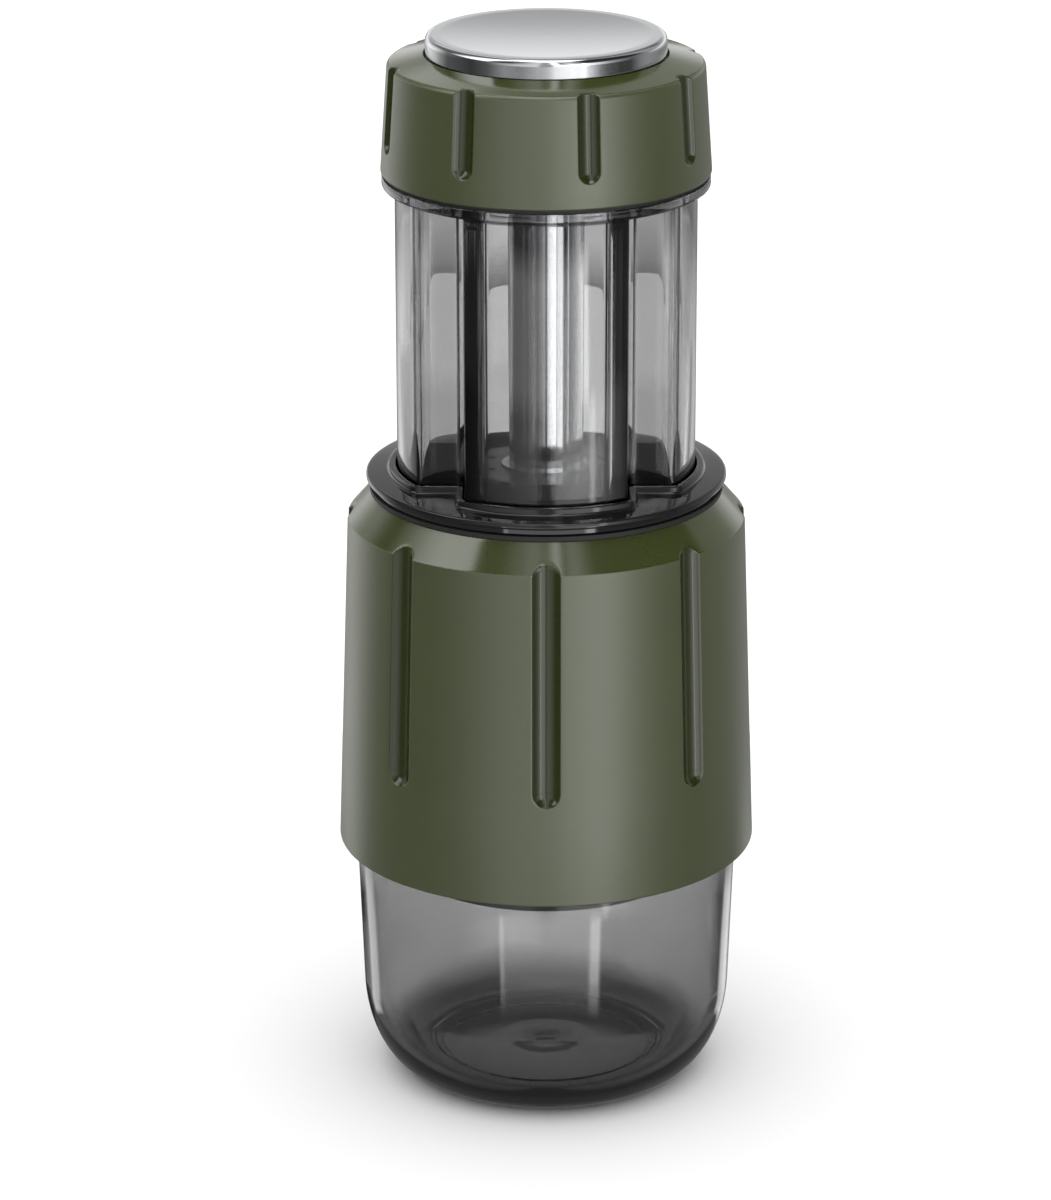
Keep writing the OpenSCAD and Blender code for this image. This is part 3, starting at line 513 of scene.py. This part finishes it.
cap_lean = CAP_DRAFT / (SHOULDER_Z - CAP_Z)
cap_low = CAP_Z + CAP_LOW
cap_floor = leaning(CAP_R - CAP_DEPTH, cap_lean, CAP_Z)
wall = rising(rounded([(CAP_R - 0.8, CAP_Z, 0), (CAP_R, CAP_Z, CAP_EDGE),
                       (CAP_R - CAP_DRAFT, SHOULDER_Z, CAP_ROUND), (WELL_R + WELL_EASE, WELL_EDGE, 0)]))
well_z, boss_z, inner_r = WELL_EDGE - WELL_DEPTH, CAP_Z + BOSS_Z, CAP_R - CAP_WALL
rest = [(WELL_R, WELL_EDGE - WELL_EASE), (WELL_R, well_z), (BOSS_R, well_z), (BOSS_R, boss_z),
        (ROD_HOLE, boss_z), (ROD_HOLE, CAP_Z + HOLE_TOP), (BOSS_R + BOSS_WALL, CAP_Z + HOLE_TOP + 0.1),
        (inner_r - CAP_DRAFT, SHOULDER_Z - CAP_WALL), (inner_r, CAP_Z)]
rows = steps(cap_low - 1.1, 0.15, 26) + steps(178, 2, 6) + steps(188, 0.2, 17)
cap = fluted("cap_moulding", wall, rest, cap_floor, CAP_GROOVE, CAP_DEPTH, cap_low, CAP_TURN,
             SHOULDER_Z + GLOSS_OVER, rows)
place(cap, "plunger", "olive_moulding", "cap")


# Palm disc: polished steel with a rounded edge, its face dished a little

LAND, DISH, DISC_ROUND, DISC_UNDER = 2.4, 0.40, 1.1, 0.3
DISH_RINGS = (CENTRE, 3, 6, 9, 12, 14.5, 16.5, 18)
STEM_R, STEM_H = 5.0, 5

dish_r = DISC_R - LAND
dish = [(r, DISC_TOP - DISH * (1 - (r / dish_r) ** 2)) for r in DISH_RINGS]
edge = braced(rounded([(dish_r, DISC_TOP, 0), (DISC_R, DISC_TOP, DISC_ROUND), (DISC_R, DISC_Z, DISC_UNDER),
                       (DISC_R - 1, DISC_Z, 0)], 10))
stem = [(STEM_R, DISC_Z), (STEM_R, DISC_Z - STEM_H), (CENTRE, DISC_Z - STEM_H)]
disc = revolve("palm_disc_steel", dish + edge + stem, CHROME, LARGE_TURN, closed=False)
place(disc, "plunger", "polished_steel", "palm_disc")


# Clear tube: four lobes, open below, with a flange and a thin plate on top

SIDE, CORNER, THIN, ROD_GAP = -0.9, 2.4, 0.6, 0.1
END_EASE, FINE_EASE, LOW_RING = 0.4, 0.12, 12
PLATE_IN, PLATE_ROUND, PLATE_EDGE = 0.2, 0.9, 0.2
UNDER_PLATE = [(0.0, 0.9), (0.12, 0.45), (0.45, 0.12), (0.9, 0.0)]


def inside(by):
    """The tube's inner outline, with thick radial walls and full corners."""
    return lobe_outline(by - WALL, SIDE, CORNER)


out_line, in_line = lobe_outline(0), inside(0)
angles = [atan2(y, x) for x, y in out_line]
loops = [at(inside(END_EASE), TUBE_Z), at(lobe_outline(-END_EASE), TUBE_Z)]
loops += [at(out_line, z) for z in (TUBE_Z + END_EASE, TUBE_Z + LOW_RING)]
loops += [at(lobe_outline(by), PLATE_Z - down) for by, down in UNDER_PLATE]
plate_r, under_z = CAP_R - PLATE_IN, PLATE_TOP - THIN
plate = rounded([(CAP_R - 1.6, PLATE_Z, 0), (plate_r, PLATE_Z, PLATE_ROUND), (plate_r, PLATE_TOP, PLATE_EDGE),
                 (CAP_R - 1.4, PLATE_TOP, 0)], 5)
loops += [circle(r, z, angles) for r, z in plate[1:]]
loops += [circle(ROD_R + ROD_GAP, z, angles) for z in (PLATE_TOP, under_z)]
loops += [at(inside(-END_EASE), under_z), at(inside(-FINE_EASE), under_z - FINE_EASE)]
loops += [at(in_line, z) for z in (under_z - END_EASE, TUBE_Z + LOW_RING, TUBE_Z + END_EASE)]
tube = stack("plunger_tube_clear", loops, SMOKE)
place(tube, "plunger", "smoke_clear", "plunger_tube")


# Collar: a glossy flange with a raised four-lobed lip round the opening

HOLE, LIP, FILLET, FILLET_STEPS = 0.3, 1.5, 0.5, 6
EASE, EASE_MID = 0.2, 0.06
RISE_FROM, RISE_TO, RISE = FLANGE_R - 0.4, GUIDE_R - 2, 0.3
FLANGE_RINGS = (29.4, 30.4, 31.4)
RIM_H, RIM_OUT, RIM_ROUND, UNDER_ROUND, GUIDE_EDGE = 1.2, 1, 0.4, 0.35, 0.6


def flange_height(r):
    """The flange's top rises a little from its edge towards the opening."""
    return FLANGE_TOP + RISE * min(max((RISE_FROM - r) / (RISE_FROM - RISE_TO), 0), 1)


angles = [atan2(y, x) for x, y in lobe_outline(LIP)]
loops = [at(lobe_outline(HOLE), GUIDE_Z + EASE), at(lobe_outline(HOLE), LIP_Z - EASE)]
loops += [at(lobe_outline(HOLE + EASE_MID), LIP_Z - EASE_MID), at(lobe_outline(HOLE + EASE), LIP_Z)]
loops += [at(lobe_outline(LIP - EASE), LIP_Z), at(lobe_outline(LIP - EASE_MID), LIP_Z - EASE_MID)]
loops += [at(lobe_outline(LIP), LIP_Z - EASE)]
for i in range(FILLET_STEPS + 1):
    a = pi / 2 * i / FILLET_STEPS
    out, up = FILLET * (1 - cos(a)), FILLET * (1 - sin(a))
    loops.append([(x, y, z + up) for x, y, z in at(lobe_outline(LIP + out), flange_height)])
loops += [circle(r, flange_height(r), angles) for r in FLANGE_RINGS]
rim_z, under_r = FLANGE_TOP - RIM_H, FLANGE_R - RIM_OUT
rim = rounded([(FLANGE_R - 0.9, FLANGE_TOP, 0), (FLANGE_R, FLANGE_TOP, RIM_ROUND),
               (FLANGE_R, rim_z, RIM_ROUND), (under_r, rim_z, 0.1), (under_r, FLANGE_Z, UNDER_ROUND),
               (under_r - 1, FLANGE_Z, 0)], 5)
loops += [circle(r, z, angles) for r, z in rim[1:]]
loops += [circle(GUIDE_R, FLANGE_Z, angles), circle(GUIDE_R, GUIDE_Z + GUIDE_EDGE, angles)]
loops += [circle(GUIDE_R - GUIDE_EDGE, GUIDE_Z, angles), at(lobe_outline(HOLE + EASE), GUIDE_Z)]
collar = stack("collar_smoke", loops, DARK_SMOKE)
place(collar, "pump", "dark_smoke", "collar")


# Rod: hollow bright steel

profile = [(ROD_IN, ROD_Z), (ROD_R, ROD_Z), (ROD_R, ROD_TOP), (ROD_IN, ROD_TOP)]
rod = revolve("piston_rod_steel", profile, CHROME, SMALL_TURN)
place(rod, "plunger", "polished_steel", "piston_rod")


# Springs: coils of wire in the place of the CAD springs

# the end turns lie closed, and each rises by this share of the wire's thickness
CLOSED_PITCH = 1.05


def spring(node, wire, turns, around=28, sides=12):
    """A coil in the place of a CAD spring, from the CAD spring's foot to its top."""
    points = [v.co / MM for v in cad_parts[node].data.vertices]
    foot, top = min(p.z for p in points), max(p.z for p in points)
    middle = max(p.x for p in points) - wire / 2
    dead, last = CLOSED_PITCH * wire, turns * around
    rings = []
    for i in range(last + 1):
        t = i / around
        rise = dead * (min(t, 1) + max(t - turns + 1, 0))
        rise += (top - foot - wire - 2 * dead) * min(max((t - 1) / (turns - 2), 0), 1)
        thick = wire / 2 if 0 < i < last else CENTRE
        ring = [(middle + thick * cos(b), foot + wire / 2 + rise + thick * sin(b)) for b in even(sides)]
        rings.append([(r * cos(TURN * t), r * sin(TURN * t), z) for r, z in ring])
    coil = stack(node + "_coil", rings, SPRING, closed=False)
    place(coil, "brewer", "spring_steel", node)
    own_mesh(coil)


spring("return_spring", SPRING_WIRE, SPRING_TURNS)
spring("outlet_spring", OUTLET_WIRE, OUTLET_TURNS)


# Floor

FLOOR_HALF, FLOOR_Z, FLOOR_WHITE = 6000, -0.05, 0.8

corners = [(x * FLOOR_HALF, y * FLOOR_HALF, FLOOR_Z) for x, y in ((-1, -1), (1, -1), (1, 1), (-1, 1))]
floor = mesh_object("floor", corners, [(0, 1, 2, 3)], [])
pale, n = material("pale_floor")
white = n.add("ShaderNodeBsdfDiffuse", {"Color": grey(FLOOR_WHITE)})
# after a reflection inside the clear plastic the studio is seen in place of the floor
gone = n.add("ShaderNodeBsdfTransparent", {"Color": grey(1)})
bounced = n.clear_after("Glossy Depth")
either = n.add("ShaderNodeMixShader", {0: bounced, 1: white.outputs[0], 2: gone.outputs[0]})
n.add("ShaderNodeOutputMaterial", {"Surface": either.outputs[0]})
floor.data.materials.append(pale)
floor.visible_glossy = False


# Camera

LOOK_DOWN, REACH, AIM_Z = radians(19.28), 0.9, 0.09
SENSOR, LENS, SHIFT, FAR = 36, 148.5, -0.01725, 50

camera = bpy.data.objects.new("camera", bpy.data.cameras.new("camera"))
bpy.context.scene.collection.objects.link(camera)
camera.location = (0, -REACH * cos(LOOK_DOWN), AIM_Z + REACH * sin(LOOK_DOWN))
camera.rotation_euler = (pi / 2 - LOOK_DOWN, 0, 0)
camera.data.sensor_fit = "VERTICAL"
camera.data.sensor_height = SENSOR
camera.data.lens = LENS
camera.data.shift_x = SHIFT
camera.data.clip_end = FAR
bpy.context.scene.camera = camera


# Studio: how bright it is at each compass angle, where 0 is the camera's side and positive its right hand

# what shiny walls mirror, level with the object or a little lower
LOW = [(-180, 0.1), (-168, 0.3), (-145, 1.5), (-130, 1.2), (-120, 0.6), (-108, 0.2), (-84, 0.08),
       (-75, 0.058), (-57, 0.15), (-40, 0.6), (-25, 0.9), (-12, 1.05), (-8, 1.1), (-5, 0.5), (5, 0.5),
       (8, 1.9), (25, 2.2), (33, 2.0), (34.5, 5.0), (37.5, 5.0), (39, 1.8), (44, 1.6), (53, 1.0),
       (62, 0.55), (75, 0.28), (88, 0.15), (101, 0.3), (113, 0.38), (139, 0.5), (160, 0.5), (180, 0.1)]
# the band that the palm disc's side mirrors
MID = [(-180, 0.45), (-170, 0.7), (-145, 1.0), (-130, 0.7), (-120, 0.35), (-108, 0.12), (-84, 0.08),
       (-75, 0.058), (-57, 0.13), (-40, 0.36), (-25, 0.228), (-12, 0.45), (0, 0.85), (8, 1.3),
       (25, 1.63), (36, 1.4), (44, 0.74), (53, 0.157), (60, 0.045), (75, 0.033), (88, 0.06), (101, 0.3),
       (113, 0.38), (139, 0.27), (160, 0.31), (180, 0.45)]
# the low band that the cup's side mirrors
UNDER = [(-180, 0.02), (-156, 0.05), (-150, 0.3), (-145, 1.8), (-136, 1.8), (-131, 0.3), (-60, 0.25),
         (-29.5, 0.35), (-28.5, 4.0), (-26.5, 4.0), (-26, 1.9), (26, 2.1), (28, 6.5), (33, 6.5),
         (34, 0.35), (70, 0.25), (126, 0.25), (130, 0.05), (141, 0.05), (146, 1.6), (158, 1.6),
         (166, 0.4), (180, 0.3)]
# what the slopes and tops of the mouldings mirror
HIGH = [(-180, 0.4), (-174, 0.45), (-169, 1.3), (-162, 0.8), (-150, 0.2), (-125, 0.2), (-116, 0.05),
        (-108, 0.5), (-97, 1.4), (-85, 2.4), (-60, 2.6), (-58.5, 0.03), (-40, 0.1), (-12, 1.0),
        (-7, 1.0), (-4, 0.5), (3, 0.5), (5, 1.2), (7, 2.6), (13, 2.4), (14, 0.1), (20, 0.5), (24, 1.2),
        (42, 0.05), (111, 0.03), (113, 0.4), (140, 0.5), (152, 0.2), (163, 0.1), (169, 0.55),
        (174, 0.45), (180, 0.4)]
# what is seen through the clear tube, after bends and reflections inside it
CLEAR = [(-180, 0.3), (-170, 0.3), (-164, 1.6), (-156, 1.6), (-149, 0.3), (-120, 0.04), (-97, 0.02),
         (-68, 0.05), (-53, 0.35), (-39, 0.3), (-28, 0.12), (-13, 0.75), (-4, 1.6), (-3, 0.4), (3, 0.4),
         (4, 2.8), (12, 4.4), (25, 5.4), (38, 5.4), (52, 2.6), (62, 0.3), (70, 0.2), (82, 0.42),
         (100, 1.0), (123, 2.3), (140, 2.6), (149, 0.4), (156, 1.6), (164, 1.6), (170, 0.3), (180, 0.3)]
# the same through the cup
CUP_CLEAR = [(-180, 0.1), (-169, 0.1), (-163, 0.4), (-130, 0.3), (130, 0.3), (163, 0.4), (169, 0.1),
             (180, 0.1)]
# the ramps hold shares of this value: the tables are divided by it, and the values below are shares already
FULL = 6.0
BACK = [(0.0, 0.21), (0.12, 0.20), (0.20, 0.15), (0.27, 0.09), (0.42, 0.07)]
DEEP, TOP, SHEEN = 0.03, 0.6, 0.30
# and these aren't shares: the light under the cup, and the soft light from above and from the front
UNDER_CUP = 0.85
SOFT_TOP, SOFT_LEVEL, SOFT_FRONT, SOFT_BASE = 1.95, 0.5, 0.5, 0.1

# Heights that part the bands, as the upward share of a ray's direction
DISC_BAND, DISC_REACH = -0.215, 0.03
CUP_FROM, CUP_TO = -0.37, -0.39
DEEP_FROM, DEEP_TO = -0.462, -0.484
HIGH_FROM, HIGH_TO = 0.30, 0.46
TOP_FROM, TOP_TO = 0.94, 0.975
BEHIND_FROM, BEHIND_TO = 0.35, 0.75
OVER_FROM, OVER_TO = -0.02, 0.05
SHEEN_FROM, SHEEN_TO = 0.36, 0.39

world = bpy.data.worlds.new("studio")
bpy.context.scene.world = world
world.use_nodes = True
world.cycles.sampling_method = "NONE"
n = Nodes(world.node_tree)
direction = n.add("ShaderNodeTexCoord").outputs["Generated"]
right, away, height = n.add("ShaderNodeSeparateXYZ", {0: direction}).outputs
compass = n.math("ARCTAN2", right, n.math("MULTIPLY", away, -1.0))
turned = n.math("MULTIPLY_ADD", compass, 1 / TURN, 0.5)
paths = n.add("ShaderNodeLightPath").outputs


def compass_ramp(table):
    return n.ramp(turned, [((a + 180) / 360, v / FULL) for a, v in table])


# rays off shiny surfaces see the low tables, and rays through clear plastic see theirs
in_cup_band = n.fade(height, CUP_FROM, CUP_TO)
cup_band = n.mix(n.fade(height, DEEP_FROM, DEEP_TO), compass_ramp(UNDER), grey(DEEP))
low = n.mix(n.math("COMPARE", height, DISC_BAND, DISC_REACH), compass_ramp(LOW), compass_ramp(MID))
low = n.mix(in_cup_band, low, cup_band)
clear = n.mix(in_cup_band, compass_ramp(CLEAR), compass_ramp(CUP_CLEAR))
level = n.mix(paths["Is Transmission Ray"], low, clear)

# both see the wall behind the object, and what is high up
behind = n.fade(away, BEHIND_FROM, BEHIND_TO)
level = n.mix(n.product(behind, n.fade(height, OVER_FROM, OVER_TO)), level, n.ramp(height, BACK))
level = n.mix(n.fade(height, HIGH_FROM, HIGH_TO, "SMOOTHSTEP"), level, compass_ramp(HIGH))
level = n.mix(n.fade(height, TOP_FROM, TOP_TO), level, grey(TOP))

# the cup's floor mirrors a paler wall behind
mirrored = n.clear_after("Glossy Depth")
level = n.mix(n.product(n.fade(height, SHEEN_FROM, SHEEN_TO), behind, mirrored), level, grey(SHEEN))
level = n.add("ShaderNodeVectorMath", {0: level, 1: (FULL,) * 3}, operation="MULTIPLY").outputs[0]

# matt surfaces get soft light from above and from the camera's side
front = n.math("MAXIMUM", n.math("MULTIPLY", away, -1.0), 0.0)
from_above = n.math("MULTIPLY_ADD", height, SOFT_TOP, SOFT_LEVEL)
soft = n.math("MULTIPLY_ADD", from_above, height, n.math("MULTIPLY_ADD", front, SOFT_FRONT, SOFT_BASE))
soft_colour = n.add("ShaderNodeCombineXYZ", {0: soft, 1: soft, 2: soft}).outputs[0]
level = n.mix(paths["Is Diffuse Ray"], level, soft_colour)

# the table under the cup is lit evenly through the clear plastic, and the camera sees a white background
level = n.mix(n.clear_after("Diffuse Depth"), level, grey(UNDER_CUP))
level = n.mix(paths["Is Camera Ray"], level, grey(1.0))
sky = n.add("ShaderNodeBackground", {"Color": level, "Strength": 1.0})
n.add("ShaderNodeOutputWorld", {"Surface": sky.outputs[0]})

bpy.context.scene.view_settings.view_transform = "Standard"
